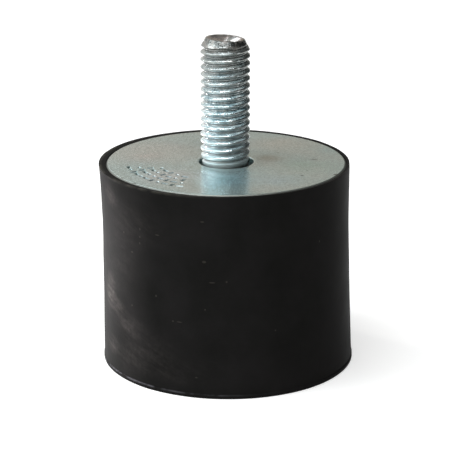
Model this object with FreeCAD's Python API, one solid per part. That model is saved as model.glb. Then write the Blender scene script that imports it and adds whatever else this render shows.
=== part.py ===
import FreeCAD, Part

import math
import os

# Bobbin vibration mount, stud above and tapped hole below: a block of rubber moulded between two
# steel plates. Lengths are in millimetres. The origin is the centre of the foot, and +Z runs up
# the axis, through the rubber and out along the stud. Every piece is turned about an upright axis.

# Block of rubber
body_height = 40.8  # over the outer faces of the two plates
rim_diameter = 50.0  # the wall at its top
foot_diameter = 50.5  # the wall just above the foot's lip
waist_depth = 0.34  # how far the wall draws in halfway up, as the rubber shrinks in the mould
rim_round = 0.4  # outer edge of the top
lip_height = 0.9  # rubber squeezed into the joint of the mould, round the foot
lip_reach = 0.16  # how far that lip stands out of the wall
lip_round = 0.3  # outer edge of the foot

# Plates, blanked from sheet
plate_thickness = 2.5
skin = 1.0  # rubber round the edge of each plate
die_roll = 0.35  # edge rounded over by the blanking die, on the outer face
hole_break = 0.06  # sharp edge taken off round each hole, on the outer face

# M10 thread. The stud's turns are rings here, one to each pitch, and the bush is bored plain.
thread_diameter = 9.85  # over the crests of the male thread
thread_pitch = 1.5
thread_angle = 60.0  # between two flanks
crest_flat = 0.3  # width of a crest along the axis
root_flat = 0.3  # width of the bottom of a groove
thread_run_out = 2.6  # from the upper plate to the first full turn
neck_diameter = 8.9  # rod that the male thread is rolled on
tapping_diameter = 8.5  # inside of the female thread

# Stud, with a round head welded to the inner face of the upper plate
stud_reach = 25.0  # above the upper plate
stud_hole_diameter = 11.0  # clearance hole for it in the upper plate
stud_shift = -0.18  # it was welded this far along X from the middle of that hole
head_diameter = 20.0
head_thickness = 3.5
head_round = 1.0
tip_diameter = 8.1  # flat left at the end, inside the chamfer
tip_chamfer = 0.75
cup_diameter = 6.2  # hollow that thread rolling leaves in the end
cup_depth = 0.5

# Threaded bush, a blind nut welded to the inner face of the lower plate
bush_diameter = 16.0
bush_round = 1.0
spigot_diameter = 13.0  # the part that sits in the lower plate, flush with the foot
spigot_gap = 0.03  # all round, between the spigot and its hole
bore_depth = 10.5  # full diameter, from the foot
bore_countersink = 0.9
drill_angle = 118.0
end_wall = 1.4  # from the drilled point to the blind end

ORIGIN = FreeCAD.Vector(0, 0, 0)
UP = FreeCAD.Vector(0, 0, 1)
SAME_PLACE = 1e-6

plate_diameter = rim_diameter - 2 * skin
upper_inner_face = body_height - plate_thickness
stud_tip = body_height + stud_reach
flank_slope = math.tan(math.radians(thread_angle / 2))
thread_depth = (thread_pitch - crest_flat - root_flat) / 2 / flank_slope
root_diameter = thread_diameter - 2 * thread_depth
drill_point = bore_depth + tapping_diameter / 2 / math.tan(math.radians(drill_angle / 2))
blind_end = drill_point + end_wall


def at(diameter, height):
    """A point of a half section, on the side of +X."""
    return FreeCAD.Vector(diameter / 2, 0, height)


def line(*corners):
    """Straight lines through the corners of a half section, each a diameter and a height."""
    return Part.makePolygon([at(*corner) for corner in corners])


def turned(*lines):
    """The solid turned from lines that close a half section, taken end to end."""
    edges = [edge for piece in lines for edge in piece.Edges]
    return Part.Face(Part.Wire(edges)).revolve(ORIGIN, UP, 360)


def circle_edges(shape, diameter, height):
    """The edge of that diameter, round the axis at that height."""
    return [
        edge
        for edge in shape.Edges
        if isinstance(edge.Curve, Part.Circle)
        and abs(2 * edge.Curve.Radius - diameter) < SAME_PLACE
        and abs(edge.Curve.Center.z - height) < SAME_PLACE
    ]


def blanked_plate(hole_diameter, inner_face, outer_face):
    """A disc of sheet with a middle hole. The die rolls the edge of its outer face over."""
    disc = turned(
        line(
            (hole_diameter, inner_face),
            (plate_diameter, inner_face),
            (plate_diameter, outer_face),
            (hole_diameter, outer_face),
            (hole_diameter, inner_face),
        )
    )
    disc = disc.makeFillet(die_roll, circle_edges(disc, plate_diameter, outer_face))
    return disc.makeChamfer(hole_break, circle_edges(disc, hole_diameter, outer_face))


def thread_groove(height, bottom_diameter):
    """The room between two turns of the male thread, as a ring that is open past the crests."""
    open_diameter = thread_diameter + crest_flat
    flank = (open_diameter - bottom_diameter) / 2 * flank_slope
    low, high = height - root_flat / 2, height + root_flat / 2
    return turned(
        line(
            (bottom_diameter, low),
            (open_diameter, low - flank),
            (open_diameter, high + flank),
            (bottom_diameter, high),
            (bottom_diameter, low),
        )
    )


def thread_grooves():
    """A groove to each pitch, down from the tip. Near the plate they grow shallow and run out."""
    grooves = []
    for turn in range(math.floor(stud_reach / thread_pitch - 0.5)):
        height = stud_tip - (turn + 1) * thread_pitch
        share = min(1, (height - body_height) / thread_run_out)
        bottom_diameter = neck_diameter + share * (root_diameter - neck_diameter)
        grooves.append(thread_groove(height, bottom_diameter))
    return grooves


def stud():
    """Headed stud: the head bears on the plate from inside, and the shank stands out of the hole."""
    head_base = upper_inner_face - head_thickness
    blank = turned(
        line(
            (0, head_base),
            (head_diameter, head_base),
            (head_diameter, upper_inner_face),
            (neck_diameter, upper_inner_face),
            (neck_diameter, body_height),
            (thread_diameter, body_height + thread_run_out),
            (thread_diameter, stud_tip - tip_chamfer),
            (tip_diameter, stud_tip),
            (0, stud_tip),
            (0, head_base),
        )
    )
    blank = blank.makeFillet(head_round, circle_edges(blank, head_diameter, head_base))
    ball_radius = ((cup_diameter / 2) ** 2 + cup_depth**2) / (2 * cup_depth)
    cup = Part.makeSphere(ball_radius, at(0, stud_tip - cup_depth + ball_radius))
    finished = blank.cut([cup] + thread_grooves())
    finished.translate(FreeCAD.Vector(stud_shift, 0, 0))
    return finished


def bush_blank():
    """The bush before it is drilled: a spigot for the plate, and a body wider than its hole."""
    blank = turned(
        line(
            (0, 0),
            (spigot_diameter, 0),
            (spigot_diameter, plate_thickness),
            (bush_diameter, plate_thickness),
            (bush_diameter, blind_end),
            (0, blind_end),
            (0, 0),
        )
    )
    return blank.makeFillet(bush_round, circle_edges(blank, bush_diameter, blind_end))


def tapped_hole():
    """The room inside the bush: a countersunk mouth, the tapped length and the drill's point."""
    mouth_diameter = tapping_diameter + 2 * bore_countersink
    return turned(
        line(
            (0, 0),
            (mouth_diameter, 0),
            (tapping_diameter, bore_countersink),
            (tapping_diameter, bore_depth),
            (0, drill_point),
            (0, 0),
        )
    )


def rubber_block():
    """The outside of the moulding: a slightly waisted wall, with a lip round its foot."""
    lip_diameter = foot_diameter + 2 * lip_reach
    waist_diameter = (rim_diameter + foot_diameter) / 2 - 2 * waist_depth
    wall = Part.Arc(
        at(foot_diameter, lip_height),
        at(waist_diameter, (lip_height + body_height) / 2),
        at(rim_diameter, body_height),
    ).toShape()
    ends = line(
        (rim_diameter, body_height),
        (0, body_height),
        (0, 0),
        (lip_diameter, 0),
        (lip_diameter, lip_height - lip_reach),
        (foot_diameter, lip_height),
    )
    block = turned(wall, ends)
    block = block.makeFillet(rim_round, circle_edges(block, rim_diameter, body_height))
    return block.makeFillet(lip_round, circle_edges(block, lip_diameter, 0))


def plate_room(base):
    """The room that a plate and its hole take out of the rubber."""
    return Part.makeCylinder(plate_diameter / 2, plate_thickness, at(0, base), UP)


def rubber_body():
    """The moulding with the metal taken out of it, so that it meets every bonded face exactly."""
    metal = [plate_room(0), plate_room(upper_inner_face), stud(), bush_blank()]
    return rubber_block().cut(metal)


pieces = {
    "rubber_body": rubber_body(),
    "upper_plate": blanked_plate(stud_hole_diameter, upper_inner_face, body_height),
    "lower_plate": blanked_plate(spigot_diameter + 2 * spigot_gap, plate_thickness, 0),
    "stud": stud(),
    "threaded_bush": bush_blank().cut(tapped_hole()),
}

os.makedirs("parts", exist_ok=True)
for name, shape in pieces.items():
    if len(shape.Solids) != 1 or not shape.isValid():
        raise ValueError(name + " is not one sound solid")
    shape.Solids[0].exportStep("parts/" + name + ".step")
    print(name, "volume in cubic centimetres:", round(shape.Volume / 1000, 2))
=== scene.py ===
# %% [markdown]
# # A bobbin vibration mount
#
# The real thing is a short cylinder of black rubber, moulded between two steel plates. A threaded
# stud stands out of the upper plate and a tapped bush sits in the lower one, so a machine can stand
# on it without passing its shake to the floor. The solids come from the CAD model and hold every
# size. Here each of them gets a finer mesh and a finish: the rolled thread, the die-rolled edge of
# the plates, the stamp, and the slightly lopsided rubber.

# %% Load the solids
import math

import bmesh
import bpy
from mathutils import Matrix, Vector, noise


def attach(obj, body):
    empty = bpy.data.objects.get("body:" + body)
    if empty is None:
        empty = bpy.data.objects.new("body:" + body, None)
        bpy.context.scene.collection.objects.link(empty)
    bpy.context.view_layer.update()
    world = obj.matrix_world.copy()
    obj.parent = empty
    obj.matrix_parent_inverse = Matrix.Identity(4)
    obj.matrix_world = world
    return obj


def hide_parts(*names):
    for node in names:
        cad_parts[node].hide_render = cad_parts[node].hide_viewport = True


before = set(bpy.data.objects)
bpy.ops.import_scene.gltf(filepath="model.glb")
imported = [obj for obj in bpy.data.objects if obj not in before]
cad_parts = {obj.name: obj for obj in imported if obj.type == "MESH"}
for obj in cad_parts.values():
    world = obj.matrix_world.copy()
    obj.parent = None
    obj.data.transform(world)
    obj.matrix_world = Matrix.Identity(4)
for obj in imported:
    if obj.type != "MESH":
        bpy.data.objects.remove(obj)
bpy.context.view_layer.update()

MM = 0.001
print("CAD nodes:", sorted(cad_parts))

# %% [markdown]
# ## The camera
#
# The photograph was taken with a long lens from a little above the mount. Its place was worked out
# from the ellipses that the rim, the hole and the foot draw in the picture: the flatter an ellipse,
# the lower the camera, and the more two of them differ, the nearer it is. A long lens keeps the
# sides of the block almost parallel.

# %% Camera
SENSOR_WIDTH = 36
FOCAL_LENGTH = 158.7
CAMERA_AIM = Vector((-0.04, 0, 27.25)) * MM
CAMERA_DISTANCE = 402 * MM
CAMERA_ELEVATION = math.radians(17.57)

camera_data = bpy.data.cameras.new("camera")
camera_data.sensor_width = SENSOR_WIDTH
camera_data.lens = FOCAL_LENGTH
camera = bpy.data.objects.new("camera", camera_data)
bpy.context.scene.collection.objects.link(camera)
backwards = Vector((0, -math.cos(CAMERA_ELEVATION), math.sin(CAMERA_ELEVATION)))
camera.location = CAMERA_AIM + backwards * CAMERA_DISTANCE
camera.rotation_euler = backwards.to_track_quat("Z", "Y").to_euler()
bpy.context.scene.camera = camera
print("camera at", [round(value / MM, 1) for value in camera.location], "mm")

# %% [markdown]
# ## Nodes and colours
#
# Every finish below is a small graph of nodes. Writing them out takes four lines a node, so one
# function adds a node with its settings and its inputs. Colours are written as the hex values that
# a colour picker shows, which are sRGB, while the renderer counts in linear light, so a second
# function turns one into the other. A noise texture's scale is the number of its bumps in a metre,
# which says little, so a third one works it out from the width of a bump in millimetres.

# %% Helpers for nodes
def linear(hex_colour):
    """An sRGB hex colour as linear red, green, blue and alpha."""
    channels = [int(hex_colour[i : i + 2], 16) / 255 for i in (1, 3, 5)]
    return (*[c / 12.92 if c <= 0.04045 else ((c + 0.055) / 1.055) ** 2.4 for c in channels], 1.0)


def scale_of(width):
    """The scale of a pattern whose bumps or lines are that many millimetres wide."""
    return 1 / (width * MM)


def add(tree, kind, inputs=None, **settings):
    """Adds a node. inputs maps a socket's name or number to a value, a node or an output."""
    node = tree.nodes.new(kind)
    for name, value in settings.items():
        setattr(node, name, value)
    for name, value in (inputs or {}).items():
        if isinstance(value, bpy.types.Node):
            value = value.outputs[0]
        if isinstance(value, bpy.types.NodeSocket):
            tree.links.new(value, node.inputs[name])
        else:
            node.inputs[name].default_value = value
    return node


print("mid grey is", round(linear("#808080")[0], 3), "in linear light")


# %% Helpers for materials
def new_material(name):
    """An empty node material and its tree."""
    material = bpy.data.materials.new(name)
    material.use_nodes = True
    material.node_tree.nodes.clear()
    return material, material.node_tree


def set_stops(ramp, stops):
    """Gives a colour ramp its stops, each a position and a hex colour."""
    elements = ramp.color_ramp.elements
    while len(elements) < len(stops):
        elements.new(1.0)
    for element, (position, colour) in zip(elements, stops):
        element.position = position
        element.color = linear(colour)


print("materials so far:", len(bpy.data.materials))

# %% [markdown]
# ## The studio
#
# The photograph is cut out on white, so the floor is plain and pale. It is matt white, with a
# little light of its own for rays that come from the camera or from a mirror-like surface: that
# lifts it to the white of the picture, while the object's shadow still shows and the object itself
# gets no extra light. Far from the lamps the paper gets less light, so its own glow grows there,
# and the floor fades into the same white from every side.

# %% Floor
FLOOR_HALF_WIDTH = 12.0
FLOOR_COLOUR = "#e8e6e4"

floor_mesh = bpy.data.meshes.new("floor")
bm = bmesh.new()
bmesh.ops.create_grid(bm, x_segments=1, y_segments=1, size=FLOOR_HALF_WIDTH)
bm.to_mesh(floor_mesh)
bm.free()
floor = bpy.data.objects.new("floor", floor_mesh)
bpy.context.scene.collection.objects.link(floor)
print("floor is", 2 * FLOOR_HALF_WIDTH, "m wide")

# %% Paper on the floor
NEAR, FAR = 0.3, 1.2  # metres from the mount
NEAR_GLOW, FAR_GLOW = 0.55, 0.85

paper, tree = new_material("matt white paper")
ray = add(tree, "ShaderNodeLightPath").outputs
seen = add(tree, "ShaderNodeMath", {0: ray["Is Camera Ray"], 1: ray["Is Glossy Ray"]},
           operation="MAXIMUM")
seen = add(tree, "ShaderNodeMath", {0: seen, 1: ray["Is Transmission Ray"]}, operation="MAXIMUM")
spot = add(tree, "ShaderNodeTexCoord").outputs["Object"]
distance = add(tree, "ShaderNodeVectorMath", {0: spot}, operation="LENGTH").outputs["Value"]
glow = add(tree, "ShaderNodeMapRange", {"Value": distance, "From Min": NEAR, "From Max": FAR,
                                        "To Min": NEAR_GLOW, "To Max": FAR_GLOW})
glow_seen = add(tree, "ShaderNodeMath", {0: seen, 1: glow}, operation="MULTIPLY")
matt = add(tree, "ShaderNodeBsdfDiffuse", {"Color": linear(FLOOR_COLOUR)})
own_light = add(tree, "ShaderNodeEmission", {"Strength": glow_seen})
lit_paper = add(tree, "ShaderNodeAddShader", {0: matt, 1: own_light})
add(tree, "ShaderNodeOutputMaterial", {"Surface": lit_paper})
floor_mesh.materials.append(paper)
print(paper.name, "has", len(tree.nodes), "nodes")

# %% [markdown]
# ## Room and lamps
#
# Steel is only as bright as what it reflects, so the room matters as much as the lamps. Two colour
# ramps make it: one from the pale left wall, past a warm back wall, to the dark right one, and one
# from the horizon to a dimmer, bluer ceiling. Each lamp then has one task. The long box overhead
# draws a bright line along every turn of the thread. The big one at the left lights that side of
# the stud, and stands high enough not to be mirrored in the whole plate when that is seen from the
# right. The small one behind puts the bright patch into the hollow tip. The low strip grazes the
# wall of the rubber: black rubber is seen mostly by its sheen, and this gives it the soft grey edge
# of the photograph. Its narrow beam stays below the plate. No lamp shows in the picture itself.

# %% Room
ROOM_STRENGTH = 1.0
SIDES = [(0.0, "#ffffff"), (0.3, "#f6f6f4"), (0.42, "#c8beb3"), (0.5, "#b3a99d"),
         (0.58, "#a39e92"), (0.66, "#6b6d6a"), (0.75, "#2e2a27"), (1.0, "#262220")]
HEIGHTS = [(0.0, "#ffffff"), (0.35, "#ffffff"), (0.6, "#dfe6e8"), (0.85, "#87979c"),
           (1.0, "#6c7f86")]

world = bpy.data.worlds.new("room")
bpy.context.scene.world = world
world.use_nodes = True
tree = world.node_tree
tree.nodes.clear()
direction = add(tree, "ShaderNodeTexCoord").outputs["Generated"]
towards = add(tree, "ShaderNodeSeparateXYZ", {0: direction}).outputs
rightwards = add(tree, "ShaderNodeMapRange", {"Value": towards["X"], "From Min": -1.0,
                                              "From Max": 1.0})
sides = add(tree, "ShaderNodeValToRGB", {"Fac": rightwards})
set_stops(sides, SIDES)
heights = add(tree, "ShaderNodeValToRGB", {"Fac": towards["Z"]})
set_stops(heights, HEIGHTS)
walls = add(tree, "ShaderNodeVectorMath", {0: sides.outputs["Color"], 1: heights.outputs["Color"]},
            operation="MULTIPLY")
room = add(tree, "ShaderNodeBackground", {"Color": walls, "Strength": ROOM_STRENGTH})
add(tree, "ShaderNodeOutputWorld", {"Surface": room})
print("room has", len(SIDES), "shades from side to side and", len(HEIGHTS), "upwards")

# %% Lamps
LAMPS = {
    # name: place, point that it faces, width and height, beam in degrees, watts, colour
    "overhead box": ((-0.10, -0.17, 0.76), (0, 0, 0.03), (0.62, 0.22), 180, 3.4, "#f8fbff"),
    "left box": ((-0.62, -0.12, 0.44), (0, 0, 0.03), (0.5, 0.34), 180, 2.0, "#f8fdff"),
    "back box": ((-0.17, 0.70, 0.47), (0, 0, 0.03), (0.25, 0.16), 180, 0.3, "#fbfbff"),
    "low strip": ((-0.33, 0.23, 0.018), (0, 0, 0.018), (0.3, 0.03), 11, 0.115, "#fffafb"),
}

for name, (place, faced, size, beam, watts, colour) in LAMPS.items():
    lamp_data = bpy.data.lights.new(name, "AREA")
    lamp_data.shape = "RECTANGLE"
    lamp_data.size, lamp_data.size_y = size
    lamp_data.spread = math.radians(beam)
    lamp_data.energy = watts
    lamp_data.color = linear(colour)[:3]
    lamp = bpy.data.objects.new(name, lamp_data)
    bpy.context.scene.collection.objects.link(lamp)
    lamp.location = place
    lamp.rotation_euler = (Vector(place) - Vector(faced)).to_track_quat("Z", "Y").to_euler()
    lamp.visible_camera = False
bpy.context.scene.view_settings.view_transform = "Standard"
print("lamps:", list(LAMPS))

# %% [markdown]
# ## Turned shapes
#
# Everything in this mount is round, so every piece starts as half of its outline and is spun about
# the upright axis, as a lathe would. The alternative, a ready-made cylinder cut and inset into
# shape, needs more steps and says less about the sizes. Spin leaves a seam where the last outline
# meets the first, and a heap of points where the outline touches the axis. Merging the doubles
# closes both, and then the normals are made to point outwards.

# %% Helpers for turned shapes
ROUND_STEPS, SMALL_STEPS = 240, 96
SAME_POINT = 2e-6  # metres
SAME_PLACE = 0.01  # millimetres


def turned(outline, steps=ROUND_STEPS):
    """A mesh spun from half an outline of (radius, height) corners in millimetres."""
    bm = bmesh.new()
    points = [bm.verts.new((radius * MM, 0, height * MM)) for radius, height in outline]
    lines = [bm.edges.new(pair) for pair in zip(points, points[1:])]
    bmesh.ops.spin(bm, geom=points + lines, cent=(0, 0, 0), axis=(0, 0, 1), dvec=(0, 0, 0),
                   angle=math.tau, steps=steps, use_merge=True, use_duplicate=False)
    bmesh.ops.remove_doubles(bm, verts=bm.verts, dist=SAME_POINT)
    bmesh.ops.recalc_face_normals(bm, faces=bm.faces)
    return bm


def radius_of(vert):
    """How far a point stands from the axis, in millimetres."""
    return math.hypot(vert.co.x, vert.co.y) / MM


def ring(bm, radius, height):
    """The round edge at that radius and height, in millimetres."""
    return [edge for edge in bm.edges
            if all(abs(radius_of(v) - radius) < SAME_PLACE
                   and abs(v.co.z / MM - height) < SAME_PLACE for v in edge.verts)]


def soften(bm, edges, width, segments=3):
    """Rounds edges over by that width in millimetres."""
    bmesh.ops.bevel(bm, geom=edges, offset=width * MM, offset_type="OFFSET", segments=segments,
                    profile=0.5, affect="EDGES", material=-1, clamp_overlap=True)


print("a full turn has", ROUND_STEPS, "steps of", 360 / ROUND_STEPS, "degrees")

# %% [markdown]
# ## Cuts and finished pieces
#
# The stamp and both threads are cut as solids, with a Boolean modifier whose result is taken at
# once. Its exact solver is slow but clean. What it leaves are points closer together than any
# detail, and points in the middle of a straight edge, and both turn into slivers once the faces are
# cut into triangles. So every finished mesh loses them before it becomes an object. Smooth shading
# then hides the facets, and edges steeper than a limit stay sharp.

# %% Helpers for cuts and pieces
CREASE_ANGLE = math.radians(28)


def combine(bm, tool, operation):
    """Cuts, joins or intersects a mesh with another one, as solids, and uses the other one up."""
    objects = []
    for shape in (bm, tool):
        mesh = bpy.data.meshes.new("shape")
        shape.to_mesh(mesh)
        shape.free()
        objects.append(bpy.data.objects.new("shape", mesh))
        bpy.context.scene.collection.objects.link(objects[-1])
    base, other = objects
    modifier = base.modifiers.new("combine", "BOOLEAN")
    modifier.object = other
    modifier.operation = operation
    modifier.solver = "EXACT"
    depsgraph = bpy.context.evaluated_depsgraph_get()
    result = bmesh.new()
    result.from_mesh(base.evaluated_get(depsgraph).to_mesh())
    for item in objects:
        mesh = item.data
        bpy.data.objects.remove(item)
        bpy.data.meshes.remove(mesh)
    return result


def piece(name, bm, node):
    """Makes the mesh an object that stands for a CAD node, shaded smooth but for its creases."""
    bmesh.ops.remove_doubles(bm, verts=bm.verts, dist=SAME_POINT)
    bmesh.ops.dissolve_degenerate(bm, edges=bm.edges, dist=SAME_POINT)
    needless = [vert for vert in bm.verts if len(vert.link_edges) == 2]
    bmesh.ops.dissolve_verts(bm, verts=needless)
    bmesh.ops.recalc_face_normals(bm, faces=bm.faces)
    mesh = bpy.data.meshes.new(name)
    bm.to_mesh(mesh)
    bm.free()
    mesh.shade_smooth()
    mesh.set_sharp_from_angle(angle=CREASE_ANGLE)
    finished = bpy.data.objects.new(name, mesh)
    bpy.context.scene.collection.objects.link(finished)
    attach(finished, "root")
    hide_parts(node)
    print(name, "has", len(mesh.polygons), "faces")
    return finished


print("edges stay sharp above", round(math.degrees(CREASE_ANGLE)), "degrees")

# %% [markdown]
# ## The rubber
#
# The block was moulded hot round the metal and shrank as it cooled, so its wall draws in slightly
# between the plates, and a thin lip was squeezed out where the mould closes round the foot. In the
# photograph the rubber also sits a little askew: the rim is about twice as wide on the left of the
# plate as on the right, and the foot leans the other way. The outline is spun plain, its wall is
# cut into rows, and each row is then pulled in and pushed sideways. Last, soft noise takes the
# machine-made look off the surface.

# %% Sizes of the mount, in millimetres
TOP = 40.8
RIM_RADIUS, RIM_ROUND = 25.0, 0.35
FOOT_RADIUS = 25.25
LIP_RADIUS, LIP_HEIGHT, LIP_CHAMFER, LIP_ROUND = 25.41, 0.9, 0.16, 0.25
PLATE_RADIUS, PLATE_THICKNESS = 24.0, 2.5
ROLL_DEPTH = 0.42
HEAD_RADIUS, HEAD_THICKNESS, HEAD_ROUND = 10.0, 3.5, 1.0
BUSH_RADIUS, BUSH_HEIGHT, BUSH_ROUND = 8.0, 14.45, 1.0
STUD_SHIFT = -0.18
SEAT = TOP - PLATE_THICKNESS
print("the upper plate's inner face is at", round(SEAT, 2))

# %% Wall of the rubber
WALL_FOOT, WALL_TOP = 25.27, 25.03
WAIST, WAIST_RISE = 1.215, 1.852
LEAN_FOOT, LEAN_SLOPE, LEAN_BEND, LEAN_RIM = 0.39, -0.85, 0.28, -0.25


def wall_radius(height):
    """The wall's radius at a height. It is narrowest a little above the middle."""
    t = height / TOP
    straight = WALL_FOOT * (1 - t) + WALL_TOP * t
    return straight - t * (1 - t) * (WAIST + WAIST_RISE * (t - 0.5))


def lean(height):
    """How far the rubber's middle lies to the right of the plates' middle at a height."""
    t = height / TOP
    return LEAN_FOOT + LEAN_SLOPE * t + LEAN_BEND * t**2 + LEAN_RIM * t**8


for height in (0, TOP / 2, TOP):
    print("at", height, "the radius is", round(wall_radius(height), 2),
          "and the lean", round(lean(height), 2))

# %% Rubber
WALL_ROWS = 110
INNER_EDGE_GAP, INNER_EDGE_DROP = 0.02, 0.1
WAVES = [(0.12, 0.06), (0.5, 0.015)]  # bumps in a millimetre, and how far they reach in mm

rubber_outline = [
    (0, SEAT - HEAD_THICKNESS), (HEAD_RADIUS, SEAT - HEAD_THICKNESS), (HEAD_RADIUS, SEAT),
    (PLATE_RADIUS, SEAT), (PLATE_RADIUS, TOP - ROLL_DEPTH),
    (PLATE_RADIUS + INNER_EDGE_GAP, TOP - INNER_EDGE_DROP), (RIM_RADIUS, TOP),
    (FOOT_RADIUS, LIP_HEIGHT), (LIP_RADIUS, LIP_HEIGHT - LIP_CHAMFER), (LIP_RADIUS, 0),
    (PLATE_RADIUS, 0), (PLATE_RADIUS, PLATE_THICKNESS), (BUSH_RADIUS, PLATE_THICKNESS),
    (BUSH_RADIUS, BUSH_HEIGHT), (0, BUSH_HEIGHT),
]
bm = turned(rubber_outline)
uprights = [edge for edge in bm.edges
            if {round(radius_of(v), 2) for v in edge.verts} == {RIM_RADIUS, FOOT_RADIUS}]
bmesh.ops.subdivide_edges(bm, edges=uprights, cuts=WALL_ROWS, use_grid_fill=True)
in_the_skin = (RIM_RADIUS + PLATE_RADIUS) / 2
for vert in bm.verts:
    height = vert.co.z / MM
    if radius_of(vert) > in_the_skin and LIP_HEIGHT <= height <= TOP:
        vert.co.xy *= wall_radius(height) / radius_of(vert)
soften(bm, ring(bm, wall_radius(TOP), TOP), RIM_ROUND)
soften(bm, ring(bm, LIP_RADIUS, 0), LIP_ROUND)
for vert in bm.verts:
    height = vert.co.z / MM
    if radius_of(vert) > in_the_skin:
        outward = Vector((vert.co.x, vert.co.y, 0)).normalized()
        wave = sum(noise.noise(vert.co / MM * fineness) * reach for fineness, reach in WAVES)
        vert.co += outward * wave * MM
        vert.co.x += lean(height) * MM
rubber = piece("rubber_moulding", bm, "rubber_body")

# %% [markdown]
# ## The plates
#
# Each plate is a disc punched from sheet steel. The die bends the sheet over before it shears it,
# so the outer face ends in a small roll instead of a sharp corner, and that roll is the bright line
# just inside the rubber. A bevel would make it an even quarter circle, but a real one starts flat
# and steepens, so its few corners are in the outline that is spun. Smooth shading bends the light
# over a whole face if one of its edges is round, so two more corners in the outline keep that to a
# narrow ring beside each edge, and the face between them stays flat.

# %% Plates
ROLL = [(0.42, 0.0), (0.34, 0.03), (0.06, 0.3), (0.0, ROLL_DEPTH)]  # in from the edge, and down
HOLE_BREAK = 0.06
MARGIN = 0.6


def punched_disc(hole_radius, inner_face, outer_face):
    """A disc with a hole, its outer face rolled over at the rim and broken at the hole."""
    inwards = 1 if inner_face > outer_face else -1
    rolled_edge = [(PLATE_RADIUS - inset, outer_face + inwards * drop) for inset, drop in ROLL]
    bm = turned([(hole_radius, inner_face), (PLATE_RADIUS, inner_face), *reversed(rolled_edge),
                 (PLATE_RADIUS - MARGIN, outer_face), (hole_radius + MARGIN, outer_face),
                 (hole_radius, outer_face), (hole_radius, inner_face)])
    soften(bm, ring(bm, hole_radius, outer_face), HOLE_BREAK, segments=2)
    return bm


print("the rolled edge has", len(ROLL), "corners")

# %% [markdown]
# ## The stamp
#
# A mark is stamped by pushing a hard tool into the plate, so each one here is cut by a tool of its
# own, a cone for a dot and a small keel for a stroke, set on four arcs. They are plain strokes and
# dots. None of them touches another, because a cut with tools that meet in a sliver can fail, and
# all their sides are steep enough to be shaded as creases. The lower plate isn't stamped.

# %% Tools of the stamp
def keel(bm):
    """Adds a bar with its edge down: one wide from edge to middle, one deep, one long each way."""
    bar = bmesh.ops.create_cone(bm, segments=3, radius1=1, radius2=1, depth=2, cap_ends=True)
    on_edge = Matrix.Rotation(math.radians(-90), 3, "X")
    bmesh.ops.rotate(bm, verts=bar["verts"], cent=(0, 0, 0), matrix=on_edge)
    bmesh.ops.scale(bm, verts=bar["verts"], vec=(math.sqrt(3), 1, 1))
    return bar["verts"]


def spike(bm):
    """Adds a cone with its point down: one wide from edge to middle, and one deep."""
    cone = bmesh.ops.create_cone(bm, segments=16, radius1=0, radius2=1.5, depth=1.5, cap_ends=True)
    bmesh.ops.translate(bm, verts=cone["verts"], vec=(0, 0, -0.25))
    return cone["verts"]


# half length, half width, depth in millimetres and turn in degrees
STROKE, TICK, DOT = (0.78, 0.4, 0.36, 0), (0.66, 0.38, 0.36, 90), (0.42, 0.42, 0.4, 0)
STAMP = [
    # arc's radius, first and last angle, marks along it
    (19.7, 193, 243, [STROKE, DOT, TICK, STROKE, DOT, STROKE, TICK, DOT, STROKE, TICK, STROKE]),
    (17.7, 195, 241, [DOT, TICK, STROKE, DOT, DOT, STROKE, TICK, STROKE, DOT]),
    (15.7, 198, 238, [TICK, STROKE, DOT, TICK, STROKE, DOT, TICK]),
    (13.7, 202, 234, [DOT, STROKE, TICK, DOT, STROKE]),
]
print("marks on the arcs:", [len(marks) for *_, marks in STAMP])

# %% Stamped plate
STUD_HOLE_RADIUS = 5.5

punches = bmesh.new()
for radius, first, last, marks in STAMP:
    for index, (half_length, half_width, depth, turn) in enumerate(marks):
        angle = math.radians(first + (last - first) * index / (len(marks) - 1))
        turning = Matrix.Rotation(angle + math.radians(turn), 3, "Z")
        spot = Vector((radius * math.cos(angle), radius * math.sin(angle), TOP)) * MM
        tool = keel(punches) if half_length > half_width else spike(punches)
        bmesh.ops.scale(punches, verts=tool, vec=(half_width * MM, half_length * MM, depth * MM))
        bmesh.ops.rotate(punches, verts=tool, cent=(0, 0, 0), matrix=turning)
        bmesh.ops.translate(punches, verts=tool, vec=spot)
bmesh.ops.recalc_face_normals(punches, faces=punches.faces)
stamped = combine(punched_disc(STUD_HOLE_RADIUS, SEAT, TOP), punches, "DIFFERENCE")
upper_plate = piece("upper_plate_punched", stamped, "upper_plate")

# %% Lower plate
SPIGOT_RADIUS, SPIGOT_GAP = 6.5, 0.03

lower_disc = punched_disc(SPIGOT_RADIUS + SPIGOT_GAP, PLATE_THICKNESS, 0)
lower_plate = piece("lower_plate_punched", lower_disc, "lower_plate")

# %% [markdown]
# ## The thread
#
# An M10 thread climbs 1.5 mm a turn. A screw modifier could wind it, but spin can too: given a step
# upwards as well as a turn, it winds one tooth's outline into one turn of a spring. Copies of that
# turn are stacked a pitch apart, and each one's top edge lands on the next one's foot, so merging
# the doubles makes them one skin. Spinning all the turns at once gives the same skin, but takes ten
# times as long. The sharp corners are bevelled, because a rolled thread has round roots and crests.
# The skin is cut off at both ends and closed.

# %% Thread
PITCH = 1.5
TURN_STEPS = 96
SHARP = 0.5  # radians between two faces
ON_THE_CUT = 1e-3  # millimetres


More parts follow.
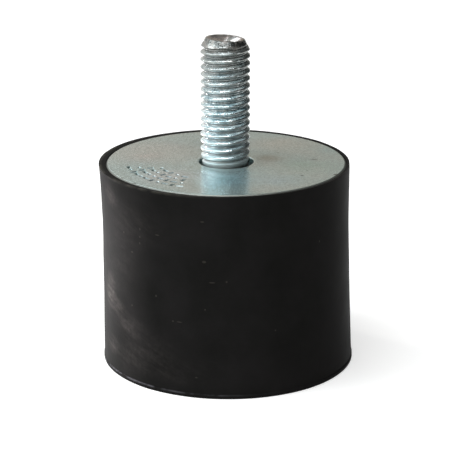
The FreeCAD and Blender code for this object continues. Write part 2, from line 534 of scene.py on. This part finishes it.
def wound_thread(tooth, low, high, phase, rounding):
    """A threaded rod from one height to another, wound from a tooth's (radius, height) corners."""
    bm = bmesh.new()
    turns = math.ceil((high - low) / PITCH) + 2
    start = low - 1.5 * PITCH
    points = [bm.verts.new((radius * MM, 0, (start + height) * MM)) for radius, height in tooth]
    lines = [bm.edges.new(pair) for pair in zip(points, points[1:])]
    bmesh.ops.spin(bm, geom=points + lines, cent=(0, 0, 0), axis=(0, 0, 1),
                   dvec=(0, 0, PITCH * MM / TURN_STEPS), angle=math.tau, steps=TURN_STEPS,
                   use_merge=False, use_duplicate=False)
    first_turn = bm.verts[:] + bm.edges[:] + bm.faces[:]
    for turn in range(1, turns):
        copied = bmesh.ops.duplicate(bm, geom=first_turn)["geom"]
        lifted = [item for item in copied if isinstance(item, bmesh.types.BMVert)]
        bmesh.ops.translate(bm, verts=lifted, vec=(0, 0, turn * PITCH * MM))
    bmesh.ops.remove_doubles(bm, verts=bm.verts, dist=SAME_POINT)
    bmesh.ops.recalc_face_normals(bm, faces=bm.faces)
    corners = [edge for edge in bm.edges
               if len(edge.link_faces) == 2 and edge.calc_face_angle() > SHARP]
    soften(bm, corners, rounding)
    for height, side in ((high, 1), (low, -1)):
        bmesh.ops.bisect_plane(bm, geom=bm.verts[:] + bm.edges[:] + bm.faces[:], dist=1e-8,
                               plane_co=(0, 0, height * MM), plane_no=(0, 0, side),
                               clear_outer=True)
        rim = [edge for edge in bm.edges if edge.is_boundary
               and all(abs(v.co.z / MM - height) < ON_THE_CUT for v in edge.verts)]
        bmesh.ops.holes_fill(bm, edges=rim, sides=0)
    bmesh.ops.recalc_face_normals(bm, faces=bm.faces)
    bmesh.ops.rotate(bm, verts=bm.verts, cent=(0, 0, 0), matrix=Matrix.Rotation(phase, 3, "Z"))
    print(turns, "turns wound, open edges:", sum(edge.is_boundary for edge in bm.edges))
    return bm


print("each step of a turn climbs", PITCH / TURN_STEPS, "mm")

# %% Thread of the stud
STUD_TIP = 65.8
CREST_RADIUS, ROOT_RADIUS = 4.925, 4.15
THREAD_LOW = 38.9
THREAD_PHASE = math.radians(146)

rolled_tooth = [(ROOT_RADIUS, 0), (ROOT_RADIUS, 0.3), (CREST_RADIUS, 0.75), (CREST_RADIUS, 1.0),
                (CREST_RADIUS - 0.205, 1.17), (ROOT_RADIUS, PITCH)]
thread = wound_thread(rolled_tooth, THREAD_LOW, STUD_TIP + 0.5, THREAD_PHASE, rounding=0.12)

# %% [markdown]
# ## The stud
#
# A turned blank trims the wound thread: what the two share is a thread that runs out just above the
# plate and ends in a chamfer and a hollow, which the rolling leaves in the end of a bolt. This stud
# has been knocked about. Its end is a little out of square and dented, so the top of the blank is
# tilted two ways and pushed about by noise before it trims. The head, hidden in the rubber, is
# turned by itself and joined last.

# %% Blank of the stud
NECK_RADIUS, NECK_TAPER = 4.45, 0.12
RUN_OUT = 43.4
CREST_ROOM = 0.02
TIP_RADIUS, TIP_CHAMFER, TIP_ROUND = 3.85, 1.9, 0.15
CUP_RADIUS, CUP_DEPTH, CUP_STEPS = 3.3, 0.9, 8
TIP_TILTS = math.radians(3.4), math.radians(1.5)
TILT_PIVOTS = -0.1 * TIP_RADIUS * MM, TIP_RADIUS * MM
DENT_FINENESS, DENT_DEPTH, DENT_PULL = 0.9, 0.12, 0.06

cup = [(CUP_RADIUS * step / CUP_STEPS, STUD_TIP - CUP_DEPTH * (1 - (step / CUP_STEPS) ** 2))
       for step in range(CUP_STEPS, -1, -1)]
blank = turned([(0, THREAD_LOW - 1), (NECK_RADIUS, THREAD_LOW - 1), (NECK_RADIUS + NECK_TAPER, TOP),
                (CREST_RADIUS + CREST_ROOM, RUN_OUT),
                (CREST_RADIUS + CREST_ROOM, STUD_TIP - TIP_CHAMFER), (TIP_RADIUS, STUD_TIP), *cup],
               steps=SMALL_STEPS)
soften(blank, ring(blank, TIP_RADIUS, STUD_TIP), TIP_ROUND)
for vert in blank.verts:
    if vert.co.z > (STUD_TIP - 2) * MM:
        dent = noise.noise(vert.co / MM * DENT_FINENESS)
        vert.co.z -= (vert.co.x - TILT_PIVOTS[0]) * math.tan(TIP_TILTS[0])
        vert.co.z -= (vert.co.y - TILT_PIVOTS[1]) * math.tan(TIP_TILTS[1])
        vert.co.z += dent * DENT_DEPTH * MM
        vert.co.xy *= 1 - max(0, dent) * DENT_PULL
print("highest point of the blank:", round(max(vert.co.z for vert in blank.verts) / MM, 2))

# %% Stud
CORE_OVERLAP = 0.6

shank = combine(thread, blank, "INTERSECT")
head = turned([(0, SEAT - HEAD_THICKNESS), (HEAD_RADIUS, SEAT - HEAD_THICKNESS),
               (HEAD_RADIUS, SEAT), (NECK_RADIUS, SEAT), (NECK_RADIUS, TOP - CORE_OVERLAP),
               (ROOT_RADIUS - 0.1, TOP + CORE_OVERLAP), (0, TOP + CORE_OVERLAP)], steps=SMALL_STEPS)
soften(head, ring(head, HEAD_RADIUS, SEAT - HEAD_THICKNESS), HEAD_ROUND, segments=4)
bm = combine(shank, head, "UNION")
bmesh.ops.translate(bm, verts=bm.verts, vec=(STUD_SHIFT * MM, 0, 0))
stud = piece("stud_rolled", bm, "stud")

# %% [markdown]
# ## The tapped bush
#
# The bush is turned from bar, drilled from below and tapped. The thread inside is the shape that a
# tap leaves, so a wound thread of the nut's size is cut out of the bush, with a cone for the
# drill's point and another for the countersunk mouth.

# %% Bush
BORE_RADIUS, BORE_DEPTH = 4.25, 10.5
TAPPED_ROOT = 5.05
TAP_OVERLAP = 0.06
COUNTERSINK = 0.9
HALF_DRILL_ANGLE = math.radians(59)
DRILL_POINT = BORE_DEPTH + BORE_RADIUS / math.tan(HALF_DRILL_ANGLE)

bm = turned([(0, 0), (SPIGOT_RADIUS, 0), (SPIGOT_RADIUS, PLATE_THICKNESS),
             (BUSH_RADIUS, PLATE_THICKNESS), (BUSH_RADIUS, BUSH_HEIGHT), (0, BUSH_HEIGHT)],
            steps=SMALL_STEPS)
soften(bm, ring(bm, BUSH_RADIUS, BUSH_HEIGHT), BUSH_ROUND, segments=4)
drill = turned([(0, -1), (BORE_RADIUS + COUNTERSINK + 1, -1), (BORE_RADIUS, COUNTERSINK),
                (BORE_RADIUS, BORE_DEPTH), (0, DRILL_POINT)], steps=SMALL_STEPS)
inside = BORE_RADIUS - TAP_OVERLAP
tap_tooth = [(inside, 0), (inside, 0.37), (TAPPED_ROOT, 0.84), (TAPPED_ROOT, 1.03),
             (inside, PITCH)]
tap = wound_thread(tap_tooth, -0.5, BORE_DEPTH - 1.2, 0, rounding=0.05)
bm = combine(bm, drill, "DIFFERENCE")
bm = combine(bm, tap, "DIFFERENCE")
bush = piece("bush_tapped", bm, "threaded_bush")

# %% [markdown]
# ## Marks and layers
#
# Handling leaves small marks where it happens and nowhere else, so they can't come from a repeating
# texture. A mark here is an ellipsoid in the object's own space: full strength at its middle, and
# gone at its edge. Its three half lengths make it a dot, a dash or a broad smear, and a fourth
# number says how hard its edge is.
#
# Colours are then laid over each other, each where its mask is 1. A Mix node does that. It has
# sockets for every kind of value in one row: the mask goes into number 0, two plain numbers into 2
# and 3, and come out of 0, and two colours go into 6 and 7, and come out of 2.

# %% Helpers for marks
def mark(tree, place, middle, reach, hardness=1.0):
    """A mask that is 1 in the middle of an ellipsoid and 0 outside it, sized in millimetres."""
    middle, shrink = [value * MM for value in middle], [1 / (value * MM) for value in reach]
    offset = add(tree, "ShaderNodeVectorMath", {0: place, 1: middle}, operation="SUBTRACT")
    shrunk = add(tree, "ShaderNodeVectorMath", {0: offset, 1: shrink}, operation="MULTIPLY")
    from_middle = add(tree, "ShaderNodeVectorMath", {0: shrunk}, operation="LENGTH")
    return add(tree, "ShaderNodeMapRange", {"Value": from_middle.outputs["Value"],
                                            "From Min": 1.0, "From Max": hardness / (1 + hardness)},
               interpolation_type="SMOOTHSTEP")


def from_axis(tree, place):
    """How far each point stands from the upright axis, in metres."""
    flat = add(tree, "ShaderNodeVectorMath", {0: place, 1: (1.0, 1.0, 0.0)}, operation="MULTIPLY")
    return add(tree, "ShaderNodeVectorMath", {0: flat}, operation="LENGTH").outputs["Value"]


def front_of(angle, height):
    """A point on the rubber's wall, by its height and its angle to the right of the front."""
    return (wall_radius(height) * math.sin(math.radians(angle)) + lean(height),
            -wall_radius(height) * math.cos(math.radians(angle)), height)


print("front of the wall, halfway up:", [round(value, 1) for value in front_of(0, TOP / 2)])

# %% [markdown]
# ## Moulded rubber
#
# Natural rubber filled with carbon black is nearly black and satin. The mould's steel leaves it
# smooth, with a very fine grain. Wax comes to its surface with time and turns parts of it dull and
# grey, mostly on the left here, and hands wipe that wax into streaks. Noise in object space gives
# the clouds. The streaks are noise too, drawn out and tilted by a mapping, and marks say where they
# show. Dust is added last, and so is a painted highlight along the left of the upper edge and of
# the lip, broken into patches by noise. The real grain is finer than a pixel, so it is drawn 0.4 mm
# wide to show at all.

# %% Marks on the rubber
SMEARS = [
    # angle, height, half width, half height, strength
    (-68, 16.5, 4.0, 5.5, 0.85), (-60, 14.6, 4.5, 2.4, 0.5), (-52, 12.0, 6.5, 4.0, 0.3),
    (-38, 8.5, 9.0, 5.0, 0.14), (-66, 5.8, 4.0, 2.6, 0.6), (-50, 5.0, 9.0, 4.5, 0.18),
    (-26, 5.0, 10.0, 4.0, 0.12), (-64, 37.0, 4.5, 3.5, 0.4), (-58, 25.0, 8.0, 11.0, 0.12),
    (-46, 33.0, 10.0, 7.0, 0.12),
]
SPECKS = [
    # angle, height, half width, half height
    (-53, 30.7, 0.25, 0.3), (-41.5, 32.5, 0.2, 0.35), (-41.8, 30.9, 0.25, 0.25),
    (-42, 29.6, 0.2, 0.3), (-31.8, 32.1, 0.6, 0.16), (-47.2, 27.3, 0.35, 0.2),
    (-10, 35.8, 0.5, 0.2), (-9.6, 27.8, 0.5, 0.3), (-6.2, 23.7, 0.75, 0.16),
    (0.2, 23.9, 0.25, 0.25), (-33.1, 19.7, 0.22, 0.3), (-24.6, 15.2, 0.25, 0.2),
    (-21.5, 15.2, 0.7, 0.14), (-9.5, 18.2, 0.2, 0.2), (-47.9, 16.3, 0.2, 0.25),
    (22, 13.5, 0.2, 0.2), (47, 29.5, 0.2, 0.3), (-14, 4.2, 0.3, 0.16),
]
print(len(SMEARS), "smears and", len(SPECKS), "specks")

# %% Tone and streaks of the rubber
CLOUD_WIDTH, STREAK_LENGTH, STREAK_WIDTH, POWDER_WIDTH = 8.3333, 7.0, 1.5, 0.9091
STREAK_TILT = math.radians(24)

rubber_material, tree = new_material("moulded natural rubber")
place = add(tree, "ShaderNodeTexCoord").outputs["Object"]
cloud = add(tree, "ShaderNodeTexNoise", {"Vector": place, "Scale": scale_of(CLOUD_WIDTH),
                                         "Detail": 5.0})
tone = add(tree, "ShaderNodeValToRGB", {"Fac": cloud})
set_stops(tone, [(0.3, "#1b1b1a"), (0.7, "#232222")])
wiped = add(tree, "ShaderNodeMapping", {
    "Vector": place, "Rotation": (0.0, STREAK_TILT, 0.0),
    "Scale": (STREAK_LENGTH * MM, STREAK_LENGTH * MM, STREAK_WIDTH * MM)}, vector_type="TEXTURE")
streaks = add(tree, "ShaderNodeTexNoise", {"Vector": wiped, "Scale": 1.0,
                                           "Detail": 5.0, "Roughness": 0.65})
streaks = add(tree, "ShaderNodeMapRange", {"Value": streaks, "From Min": 0.32, "From Max": 0.72})
powder = add(tree, "ShaderNodeTexNoise", {"Vector": place, "Scale": scale_of(POWDER_WIDTH),
                                          "Detail": 3.0})
powder = add(tree, "ShaderNodeMapRange", {"Value": powder, "From Min": 0.35, "From Max": 0.65})
streaks = add(tree, "ShaderNodeMath", {0: streaks, 1: powder, 2: streaks}, operation="MULTIPLY_ADD")
print(rubber_material.name, "has", len(tree.nodes), "nodes so far")

# %% Smears and specks
rubber_layers = []  # masks and colours, from the lowest layer up
for angle, height, half_width, half_height, strength in SMEARS:
    reach = half_width, half_width, half_height
    smear = mark(tree, place, front_of(angle, height), reach, hardness=0.0)
    streaky = add(tree, "ShaderNodeMath", {0: smear, 1: streaks}, operation="MULTIPLY")
    wax = add(tree, "ShaderNodeMath", {0: streaky, 1: strength}, operation="MULTIPLY")
    rubber_layers.append((wax, "#4d4947"))
for angle, height, half_width, half_height in SPECKS:
    speck = mark(tree, place, front_of(angle, height), (half_width, half_width, half_height))
    rubber_layers.append((speck, "#373531"))
print(len(rubber_layers), "layers on the rubber so far")

# %% Painted highlights on the rubber's edges
HIGHLIGHT_PATCH_WIDTH = 2.2222
EDGES = [
    # radius and height of an edge, reach of the painted highlight, colour
    (LIP_RADIUS - 0.05, LIP_HEIGHT - 0.1, 0.25, "#5e5d61"), (RIM_RADIUS - 0.2, TOP, 0.5, "#4b4943"),
]
axes = add(tree, "ShaderNodeSeparateXYZ", {0: place}).outputs
# Painted highlight: both edges are paler on the left, where the light falls, in patches broken up
# by noise.
painted_light_from_left = add(tree, "ShaderNodeMapRange", {"Value": axes["X"], "From Min": 6 * MM,
                                           "From Max": -16 * MM})
broken = add(tree, "ShaderNodeTexNoise", {"Vector": place, "Scale": scale_of(HIGHLIGHT_PATCH_WIDTH),
                                          "Detail": 4.0})
broken = add(tree, "ShaderNodeMapRange", {"Value": broken, "From Min": 0.38, "From Max": 0.62})
patchy_highlight = add(tree, "ShaderNodeMath", {0: painted_light_from_left, 1: broken}, operation="MULTIPLY")
for radius, height, reach, highlight_colour in EDGES:
    middle = lean(height) * MM, 0.0, height * MM
    centred = add(tree, "ShaderNodeVectorMath", {0: place, 1: middle}, operation="SUBTRACT")
    above = add(tree, "ShaderNodeSeparateXYZ", {0: centred}).outputs["Z"]
    section = add(tree, "ShaderNodeCombineXYZ", {"X": from_axis(tree, centred), "Z": above})
    from_edge = add(tree, "ShaderNodeVectorMath", {0: section, 1: (radius * MM, 0.0, 0.0)},
                    operation="DISTANCE")
    band = add(tree, "ShaderNodeMapRange", {"Value": from_edge.outputs["Value"],
                                            "From Min": reach * MM, "From Max": 0.0})
    edge_highlight = add(tree, "ShaderNodeMath", {0: band, 1: patchy_highlight}, operation="MULTIPLY")
    rubber_layers.append((edge_highlight, highlight_colour))
print(len(rubber_layers), "layers on the rubber")

# %% Surface of the rubber
MOULD_GRAIN = 0.4
SHEEN = 0.014

grain = add(tree, "ShaderNodeTexNoise", {"Vector": place, "Scale": scale_of(MOULD_GRAIN),
                                         "Detail": 3.0})
gloss = add(tree, "ShaderNodeMapRange", {"Value": cloud, "From Min": 0.3, "From Max": 0.7,
                                         "To Min": 0.44, "To Max": 0.54})
bump = add(tree, "ShaderNodeBump", {"Height": grain, "Strength": 0.4, "Distance": 0.05 * MM})
rubber_colour = tone.outputs["Color"]
for mask, layer in rubber_layers:
    rubber_colour = add(tree, "ShaderNodeMix", {0: mask, 6: rubber_colour, 7: linear(layer)},
                        data_type="RGBA").outputs[2]
shader = add(tree, "ShaderNodeBsdfPrincipled", {
    "Base Color": rubber_colour, "Roughness": gloss, "Specular IOR Level": SHEEN, "Normal": bump})
add(tree, "ShaderNodeOutputMaterial", {"Surface": shader})
rubber.data.materials.append(rubber_material)
print(rubber_material.name, "has", len(tree.nodes), "nodes")

# %% [markdown]
# ## Zinc plate
#
# The steel is zinc plated and then dipped in a clear passivation. Fresh zinc is a little blue, and
# the film on it drifts to a warm grey in some places and to green in others, which marks place
# here. The metal's crystals make a fine haze, so the plate is not a clean mirror: its shader is a
# little less than fully metallic, which adds that pale haze to the reflections, and its gloss and
# height vary at the size of the grain. Real crystals are a few hundredths of a millimetre wide, too
# fine to show, so they are drawn a third of a millimetre wide. The mill's rolling lines just show.
#
# The edge that the die rolled over is duller and greyer, and a few nicks in it are dark. The
# bottoms of the stamped marks are painted dark, as shade. Marks also paint a shadow just right of
# the stud, and paint the stud's reflection in front of it paler and bluer.

# %% Tints, painted light and marks of the plate
TINTS_AND_PAINTED_LIGHT = [
    # middle across and along, half width, half depth, strength, colour
    # The brown patch right of the stud, at 8.6 across, is a painted shadow; the pale blue patch and
    # the near-white strip in front of the stud paint its reflection.
    (-15, 7, 15, 13, 0.7, "#dccdc6"), (16, -4, 9, 8, 0.7, "#b0cdbf"),
    (0, -13, 9, 11, 0.9, "#bce4ee"), (8.6, 2.2, 3.6, 3.8, 0.9, "#877861"),
    (-11, -11, 9, 8, 0.8, "#e4e5e7"), (9, -14, 8, 7, 0.6, "#c6dbe4"),
    (12, 13, 12, 9, 0.65, "#dcd2c6"), (-3.7, -13, 3.2, 9, 0.9, "#e6f8fc"),
]
PITS = [
    # middle across and along, half width, half depth, colour
    (17.6, 1.4, 1.0, 0.4, "#6f787b"), (14.8, -10.2, 0.4, 0.5, "#566069"),
    (15.9, -6.5, 0.25, 0.3, "#7c8588"), (10.5, 6.5, 0.3, 0.4, "#8a8c88"),
    (-3.4, 15.0, 0.4, 0.3, "#8a8c88"), (21.5, -9.6, 0.8, 0.5, "#1a1a19"),
    (-20.4, -12.2, 0.7, 0.5, "#1a1a19"), (-17.9, -15.7, 0.8, 0.5, "#1a1a19"),
]
print(len(TINTS_AND_PAINTED_LIGHT), "tints and", len(PITS), "pits")

# %% Colour of the plate
FILM_WIDTH, CRYSTAL_WIDTH = 11.111, 1 / 3

plate_material, tree = new_material("zinc plated rolled sheet")
place = add(tree, "ShaderNodeTexCoord").outputs["Object"]
cloud = add(tree, "ShaderNodeTexNoise", {"Vector": place, "Scale": scale_of(FILM_WIDTH),
                                         "Detail": 5.0})
crystals = add(tree, "ShaderNodeTexNoise", {"Vector": place, "Scale": scale_of(CRYSTAL_WIDTH),
                                            "Detail": 3.0})
tint = add(tree, "ShaderNodeValToRGB", {"Fac": cloud})
set_stops(tint, [(0.32, "#cbd6d2"), (0.5, "#c3d6d4"), (0.68, "#bbd4d5")])
drift = add(tree, "ShaderNodeMapRange", {"Value": cloud, "From Min": 0.25, "From Max": 0.6})
plate_layers = []
for across, along, half_width, half_depth, strength, film_and_painted_light in TINTS_AND_PAINTED_LIGHT:
    cover = mark(tree, place, (across, along, TOP), (half_width, half_depth, 3.0), hardness=0.0)
    cover = add(tree, "ShaderNodeMath", {0: cover, 1: drift}, operation="MULTIPLY")
    cover = add(tree, "ShaderNodeMath", {0: cover, 1: strength}, operation="MULTIPLY")
    plate_layers.append((cover, film_and_painted_light))
for across, along, half_width, half_depth, dark in PITS:
    pit = mark(tree, place, (across, along, TOP), (half_width, half_depth, 0.3))
    plate_layers.append((pit, dark))
print(len(plate_layers), "layers on the plate so far")

# %% Crystals, painted shade in the stamp and rolled edge of the plate
STAMP_MIDDLE, STAMP_REACH = (-13.5, -10.6, TOP), (10.5, 10.5, 3.0)

speckle = add(tree, "ShaderNodeMapRange", {"Value": crystals, "From Min": 0.4, "From Max": 0.6,
                                           "To Max": 0.45})
height = add(tree, "ShaderNodeSeparateXYZ", {0: place}).outputs["Z"]
# Painted shade: within the stamp, the bottoms of the marks below the plate's face are darkened.
painted_stamp_shade = add(tree, "ShaderNodeMapRange", {"Value": height, "From Min": (TOP - 0.12) * MM,
                                        "From Max": (TOP - 0.3) * MM, "To Max": 0.85})
stamped_part = mark(tree, place, STAMP_MIDDLE, STAMP_REACH, hardness=6.0)
painted_stamp_shade = add(tree, "ShaderNodeMath", {0: painted_stamp_shade, 1: stamped_part}, operation="MULTIPLY")
rolled = add(tree, "ShaderNodeMapRange", {"Value": from_axis(tree, place),
                                          "From Min": (PLATE_RADIUS - 0.5) * MM,
                                          "From Max": (PLATE_RADIUS - 0.3) * MM})
plate_layers += [(speckle, "#7f8b8b"), (painted_stamp_shade, "#4b5152"), (rolled, "#8d9089")]
print(len(plate_layers), "layers on the plate")

# %% Surface of the plate
MILL_LINE_LENGTH, MILL_LINE_WIDTH = 8.3333, 0.2381
DULL_EDGE = 0.42
PLATE_METALLIC = 0.73

along_mill = add(tree, "ShaderNodeMapping", {
    "Vector": place, "Scale": (scale_of(MILL_LINE_LENGTH), scale_of(MILL_LINE_WIDTH),
                               scale_of(MILL_LINE_LENGTH))})
mill_lines = add(tree, "ShaderNodeTexNoise", {"Vector": along_mill, "Scale": 1.0, "Detail": 3.0})
gloss = add(tree, "ShaderNodeMapRange", {"Value": crystals, "From Min": 0.3, "From Max": 0.7,
                                         "To Min": 0.24, "To Max": 0.16})
roughness = add(tree, "ShaderNodeMix", {0: rolled, 2: gloss, 3: DULL_EDGE})
relief = add(tree, "ShaderNodeMath", {0: crystals, 1: mill_lines}, operation="ADD")
bump = add(tree, "ShaderNodeBump", {"Height": relief, "Strength": 0.35, "Distance": 0.01 * MM})
plate_colour = tint.outputs["Color"]
for mask, layer in plate_layers:
    plate_colour = add(tree, "ShaderNodeMix", {0: mask, 6: plate_colour, 7: linear(layer)},
                       data_type="RGBA").outputs[2]
shader = add(tree, "ShaderNodeBsdfPrincipled", {
    "Base Color": plate_colour, "Metallic": PLATE_METALLIC, "Roughness": roughness, "Normal": bump})
add(tree, "ShaderNodeOutputMaterial", {"Surface": shader})
for plate in (upper_plate, lower_plate):
    plate.data.materials.append(plate_material)
print(plate_material.name, "has", len(tree.nodes), "nodes")

# %% [markdown]
# ## Zinc on a rolled thread
#
# Thread rolling squeezes the steel along the turns, so the surface has fine streaks that follow
# them, and the zinc on it has a grain of its own. Noise that is stretched sideways gives the first
# and plain noise the second. The crests are rougher, and darker with painted shade, and the roots
# are painted dark as shade. Towards the tip the plating is thinner and the turns are browner. Near
# the plate it is fresh and pale. The lowest turn is a little matt and less metallic, and whitened
# as a painted highlight. Just below the plate's face the thread is painted dark, as shade in the
# gap. The face of the tip is a warm grey with a painted highlight on one patch, and its chamfer is
# knocked dull in spots.

# %% Zinc of the thread
STREAK_RUN, STREAK_FINENESS, PATCH_WIDTH = 2.0, 0.19231, 2.0

thread_material, tree = new_material("zinc plated rolled thread")
place = add(tree, "ShaderNodeTexCoord").outputs["Object"]
stretched = add(tree, "ShaderNodeMapping", {
    "Vector": place, "Scale": (scale_of(STREAK_RUN), scale_of(STREAK_RUN),
                               scale_of(STREAK_FINENESS))})
streaks = add(tree, "ShaderNodeTexNoise", {"Vector": stretched, "Scale": 1.0, "Detail": 3.0})
grain = add(tree, "ShaderNodeTexNoise", {"Vector": place, "Scale": scale_of(CRYSTAL_WIDTH),
                                         "Detail": 2.0})
patches = add(tree, "ShaderNodeTexNoise", {"Vector": place, "Scale": scale_of(PATCH_WIDTH),
                                           "Detail": 3.0})
streaky_grain = add(tree, "ShaderNodeMath", {0: streaks, 1: grain}, operation="ADD")
cloudy = add(tree, "ShaderNodeMath", {0: streaky_grain, 1: patches}, operation="ADD")
cloudy = add(tree, "ShaderNodeMapRange", {"Value": cloudy, "From Min": 1.2, "From Max": 1.8})
tint = add(tree, "ShaderNodeValToRGB", {"Fac": cloudy})
set_stops(tint, [(0.1, "#849ca3"), (0.5, "#d2e3e7"), (0.9, "#f6fbfc")])
print(thread_material.name, "has", len(tree.nodes), "nodes so far")

# %% Wear, painted shade and a painted highlight along the thread
height = add(tree, "ShaderNodeSeparateXYZ", {0: place}).outputs["Z"]
uneven_height = add(tree, "ShaderNodeMath", {0: patches, 1: 8 * MM, 2: height},
                    operation="MULTIPLY_ADD")
near_tip = add(tree, "ShaderNodeMapRange", {"Value": uneven_height,
                                            "From Min": 56 * MM, "From Max": 74 * MM})
fresh = add(tree, "ShaderNodeMapRange", {"Value": height, "From Min": 51 * MM,
                                         "From Max": 42 * MM, "To Max": 0.75})
# Partly a painted highlight: the lowest turn is whitened, as well as made matt and less metallic.
lowest_turn_matt_painted_highlight = add(tree, "ShaderNodeMapRange", {"Value": height, "From Min": 42.8 * MM,
                                          "From Max": 41.6 * MM})
# Painted shade: the thread is darkened from just below the plate's face downwards, in the gap.
painted_gap_shade = add(tree, "ShaderNodeMapRange", {"Value": height, "From Min": 40.7 * MM,
                                               "From Max": 40.4 * MM})
centred = add(tree, "ShaderNodeVectorMath", {0: place, 1: (-STUD_SHIFT * MM, 0.0, 0.0)})
from_middle = from_axis(tree, centred)
# Partly painted shade: the crests are darkened, as well as made rougher.
crests_dull_painted_shade = add(tree, "ShaderNodeMapRange", {"Value": from_middle,
                                          "From Min": (CREST_RADIUS - 0.03) * MM,
                                          "From Max": (CREST_RADIUS - 0.005) * MM})
# Painted shade: the roots of the thread are darkened.
painted_root_shade = add(tree, "ShaderNodeMapRange", {"Value": from_middle,
                                         "From Min": (ROOT_RADIUS + 0.25) * MM,
                                         "From Max": ROOT_RADIUS * MM, "To Max": 0.65})
print("masks along the thread: near the tip, fresh, lowest, in the hole, crests, roots")

# %% Wear and a painted highlight on the tip
TIP_FACE, TIP_FACE_REACH = (STUD_SHIFT, 0, STUD_TIP), (CUP_RADIUS + 0.5, CUP_RADIUS + 0.5, 1.6)
# A painted highlight: one near-white patch on the end face of the tip.
TIP_HIGHLIGHT_SPOT, TIP_HIGHLIGHT_REACH = (STUD_SHIFT + 1.4, 0.6, STUD_TIP - 0.5), (2.3, 2.8, 1.2)
KNOCK_WIDTH = 1.1111

end_face = mark(tree, place, TIP_FACE, TIP_FACE_REACH, hardness=3.0)
tip_painted_highlight = mark(tree, place, TIP_HIGHLIGHT_SPOT, TIP_HIGHLIGHT_REACH, hardness=0.6)
knocks = add(tree, "ShaderNodeTexNoise", {"Vector": place, "Scale": scale_of(KNOCK_WIDTH),
                                          "Detail": 3.0})
knocks = add(tree, "ShaderNodeMapRange", {"Value": knocks, "From Min": 0.5, "From Max": 0.58})
on_tip = add(tree, "ShaderNodeMapRange", {"Value": height, "From Min": (STUD_TIP - 2) * MM,
                                          "From Max": (STUD_TIP - 1) * MM})
off_face = add(tree, "ShaderNodeMapRange", {"Value": end_face, "From Min": 1.0, "From Max": 0.0})
on_chamfer = add(tree, "ShaderNodeMath", {0: on_tip, 1: off_face}, operation="MULTIPLY")
knocked = add(tree, "ShaderNodeMath", {0: knocks, 1: on_chamfer}, operation="MULTIPLY")
print("masks of the tip: end face, rubbed spot, knocks")

# %% Surface of the thread
# The whitened lowest turn and the bright patch on the tip are painted highlights; the darkening
# below the plate's face, in the roots and on the crests is painted shade.
LAYERS = [
    # mask and colour, from the lowest layer up
    (near_tip, "#8d8780"), (fresh, "#eaf6f9"), (lowest_turn_matt_painted_highlight, "#f0fbfd"), (painted_gap_shade, "#2a2521"),
    (painted_root_shade, "#4b4e4c"), (crests_dull_painted_shade, "#8f938f"), (end_face, "#cbbfbc"), (tip_painted_highlight, "#f0f5f8"),
    (knocked, "#95928e"),
]
ROUGHER = [(crests_dull_painted_shade, 0.45), (knocked, 0.42), (lowest_turn_matt_painted_highlight, 0.3)]
METALLIC, METALLIC_AT_FOOT = 0.85, 0.7

thread_colour = tint.outputs["Color"]
for mask, layer in LAYERS:
    thread_colour = add(tree, "ShaderNodeMix", {0: mask, 6: thread_colour, 7: linear(layer)},
                        data_type="RGBA").outputs[2]
roughness = add(tree, "ShaderNodeMapRange", {"Value": streaky_grain, "From Min": 0.7,
                                             "From Max": 1.3, "To Min": 0.24, "To Max": 0.12})
for mask, rougher in ROUGHER:
    roughness = add(tree, "ShaderNodeMix", {0: mask, 2: roughness, 3: rougher})
metallic = add(tree, "ShaderNodeMix", {0: lowest_turn_matt_painted_highlight, 2: METALLIC, 3: METALLIC_AT_FOOT})
bump = add(tree, "ShaderNodeBump", {"Height": streaky_grain, "Strength": 0.8,
                                    "Distance": 0.08 * MM})
shader = add(tree, "ShaderNodeBsdfPrincipled", {
    "Base Color": thread_colour, "Metallic": metallic, "Roughness": roughness, "Normal": bump})
add(tree, "ShaderNodeOutputMaterial", {"Surface": shader})
stud.data.materials.append(thread_material)
print(thread_material.name, "has", len(tree.nodes), "nodes")

# %% [markdown]
# ## Zinc on a turned bush
#
# The bush is turned on a lathe, which leaves fine rings about its axis. Noise that reads the
# distance from the axis instead of the place gives rings. It is never polished, so it is duller
# than the plate beside it.

# %% Material of the bush
RING_WIDTH, BUSH_CLOUD_WIDTH = 1 / 6, 6.6667

bush_material, tree = new_material("zinc plated turned steel")
place = add(tree, "ShaderNodeTexCoord").outputs["Object"]
rings = add(tree, "ShaderNodeTexNoise", {"W": from_axis(tree, place),
                                         "Scale": scale_of(RING_WIDTH), "Detail": 2.0},
            noise_dimensions="1D")
cloud = add(tree, "ShaderNodeTexNoise", {"Vector": place, "Scale": scale_of(BUSH_CLOUD_WIDTH),
                                         "Detail": 4.0})
tint = add(tree, "ShaderNodeValToRGB", {"Fac": cloud})
set_stops(tint, [(0.32, "#b9b6ae"), (0.68, "#b4c0bd")])
gloss = add(tree, "ShaderNodeMapRange", {"Value": rings, "From Min": 0.3,
                                         "From Max": 0.7, "To Min": 0.34, "To Max": 0.24})
bump = add(tree, "ShaderNodeBump", {"Height": rings, "Strength": 0.25, "Distance": 0.02 * MM})
shader = add(tree, "ShaderNodeBsdfPrincipled", {
    "Base Color": tint.outputs["Color"], "Metallic": 1.0, "Roughness": gloss, "Normal": bump})
add(tree, "ShaderNodeOutputMaterial", {"Surface": shader})
bush.data.materials.append(bush_material)
print(bush_material.name, "has", len(tree.nodes), "nodes")
